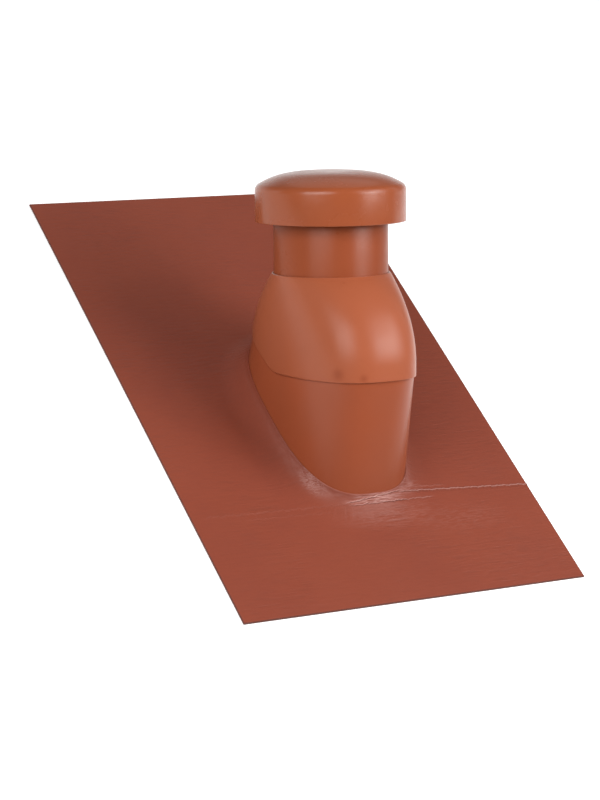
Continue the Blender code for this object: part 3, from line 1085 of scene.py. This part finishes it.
def makeFlashing():
    lines = baseColumns(flashing["columns"])
    thickness, gap, lip = roof["sheetThickness"], flashing["gap"], flashing["lip"]
    lipTop, coveReach = thickness + flashing["upstand"], flashing["coveReach"]
    lipRadius = lip / 2
    rows = [wallRow(lines, lipTop - lip * 3, gap)]
    for step in range(flashing["lipSteps"] + 1):
        turn = pi - pi * step / flashing["lipSteps"]
        outset = gap + lipRadius + lipRadius * cos(turn)
        rows.append(wallRow(lines, lipTop - lipRadius + lipRadius * sin(turn), outset))
    for step in range(1, flashing["coveRows"] + 1):
        turn = step / flashing["coveRows"] * pi / 2
        share = 1 - cos(turn)
        height = thickness + (flashing["upstand"] - lipRadius) * (1 - sin(turn))
        row = wallRow(lines, height, gap + lip + coveReach * share)
        for point, (foot, _, _) in zip(row, lines):
            point.z += pleatLift(foot, share) + sheetLift(point) * smoothStep(share)
        rows.append(row)
    coveFoot = rows[-1]
    edge = sheetEdge(lines, thickness, flashing["edgeRound"])
    for step in range(1, flashing["sheetRows"] + 1):
        share = (step / flashing["sheetRows"]) ** flashing["sheetCrowding"]
        calm = 1 - smoothStep(1 - (1 - share) * flashing["edgeCalm"])
        row = [a.lerp(b, share) for a, b in zip(coveFoot, edge)]
        for point, (foot, _, _), near in zip(row, lines, coveFoot):
            reach = 1 + Vector((point.x - near.x, point.y - near.y)).length / coveReach
            point.z = thickness + pleatLift(foot, reach) + sheetLift(point) * calm
        rows.append(row)
    under = [
        sheetEdge(lines, thickness - flashing["edgeRound"]),
        sheetEdge(lines, flashing["edgeRound"]),
        sheetEdge(lines, 0, flashing["edgeRound"]),
        wallRow(lines, 0, gap + lip + coveReach),
        wallRow(lines, 0, base["flange"] + gap),
        wallRow(lines, flashing["flangeRise"], base["flange"] + gap),
        wallRow(lines, flashing["flangeRise"], gap),
    ]
    bm = shellOfRings(rows + under)
    pressWrinkles(bm)
    finishPiece("flashingSheet", bm, flashingSkin, "flashing_sheet")


makeVentPipe()
makeRainCap()
makeUpperHood()
makeLowerHood()
makeFlashing()


# Floor, light and camera

studio = {
    "floorColour": (0.90, 0.90, 0.90, 1),
    "floorGlow": 0.25,
    "worldStrength": 0.20,
    "reach": 1.5,
    "aimHeight": 0.14,
    "floorHalf": 6,
}

# Each light: turn from the camera round the pipe, height above level, width, height, watts
lights = {
    "keyRight": (60, 13, 0.55, 0.60, 10.5),
    "keySoft": (64, 26, 0.90, 1.00, 9.5),
    "keyFar": (78, 20, 0.60, 1.00, 6.8),
    "frontLeft": (-28, 22, 0.70, 0.90, 12.7),
    "frontMid": (-8, 25, 0.50, 0.90, 8.2),
    "stripLeft": (-92, 12, 0.28, 1.20, 2.2),
    "stripRight": (117, 15, 0.30, 1.20, 0.8),
    "backdrop": (178, 60, 0.90, 0.90, 1.4),
}

photoView = {
    "turn": radians(29.52),
    "above": radians(8.45),
    "roll": radians(-0.50),
    "distance": 2.80,
    "aimAcross": -0.0354,
    "aimUp": 0.0491,
    "lens": 113.3,
    "sensor": 36,
}


def makeFloor():
    material, _, shader = newMaterial("pale floor")
    shader.inputs["Base Color"].default_value = studio["floorColour"]
    shader.inputs["Roughness"].default_value = 0.9
    shader.inputs["Emission Color"].default_value = (1, 1, 1, 1)
    shader.inputs["Emission Strength"].default_value = studio["floorGlow"]
    bm = bmesh.new()
    bmesh.ops.create_grid(bm, x_segments=1, y_segments=1, size=studio["floorHalf"])
    mesh = bpy.data.meshes.new("floor")
    bm.to_mesh(mesh)
    bm.free()
    mesh.materials.append(material)
    floor = bpy.data.objects.new("floor", mesh)
    scene.collection.objects.link(floor)


def viewAxes():
    turn, above, roll = photoView["turn"], photoView["above"], photoView["roll"]
    ahead = Vector((sin(turn) * cos(above), cos(turn) * cos(above), -sin(above)))
    level = Vector((cos(turn), -sin(turn), 0))
    upright = level.cross(ahead)
    right = cos(roll) * level + sin(roll) * upright
    up = cos(roll) * upright - sin(roll) * level
    return ahead, level, right, up


def placeLight(name, turn, height, width, tall, watts):
    ahead, level, _, _ = viewAxes()
    toCamera = Vector((-ahead.x, -ahead.y, 0)).normalized()
    turn, height = radians(turn), radians(height)
    aim = cos(height) * (cos(turn) * toCamera + sin(turn) * level) + sin(height) * Vector((0, 0, 1))
    middle = Vector((0, 0, studio["aimHeight"]))
    light = bpy.data.lights.new(name, "AREA")
    light.shape = "RECTANGLE"
    light.size = width
    light.size_y = tall
    light.energy = watts
    lamp = bpy.data.objects.new(name, light)
    scene.collection.objects.link(lamp)
    spot = headPlace @ (middle + aim * studio["reach"])
    back = (headPlace.to_3x3() @ aim).normalized()
    up = (headPlace.to_3x3() @ Vector((0, 0, 1)))
    side = up.cross(back).normalized()
    turned = Matrix((side, back.cross(side), back)).transposed().to_4x4()
    lamp.matrix_world = Matrix.Translation(spot) @ turned
    lamp.visible_camera = False


def makeCamera():
    ahead, level, right, up = viewAxes()
    aim = photoView["aimAcross"] * level + Vector((0, 0, photoView["aimUp"]))
    turned = Matrix((right, up, -ahead)).transposed().to_4x4()
    lens = bpy.data.cameras.new("photoCamera")
    lens.lens = photoView["lens"]
    lens.sensor_width = photoView["sensor"]
    camera = bpy.data.objects.new("photoCamera", lens)
    scene.collection.objects.link(camera)
    camera.matrix_world = headPlace @ Matrix.Translation(aim - ahead * photoView["distance"]) @ turned
    scene.camera = camera


def makeWorld():
    world = bpy.data.worlds.new("studio air")
    world.use_nodes = True
    background = world.node_tree.nodes["Background"]
    background.inputs["Color"].default_value = (1, 1, 1, 1)
    background.inputs["Strength"].default_value = studio["worldStrength"]
    scene.world = world


makeFloor()
makeWorld()
for name, values in lights.items():
    placeLight(name, *values)
makeCamera()
scene.view_settings.view_transform = "Standard"
print("studio ready")
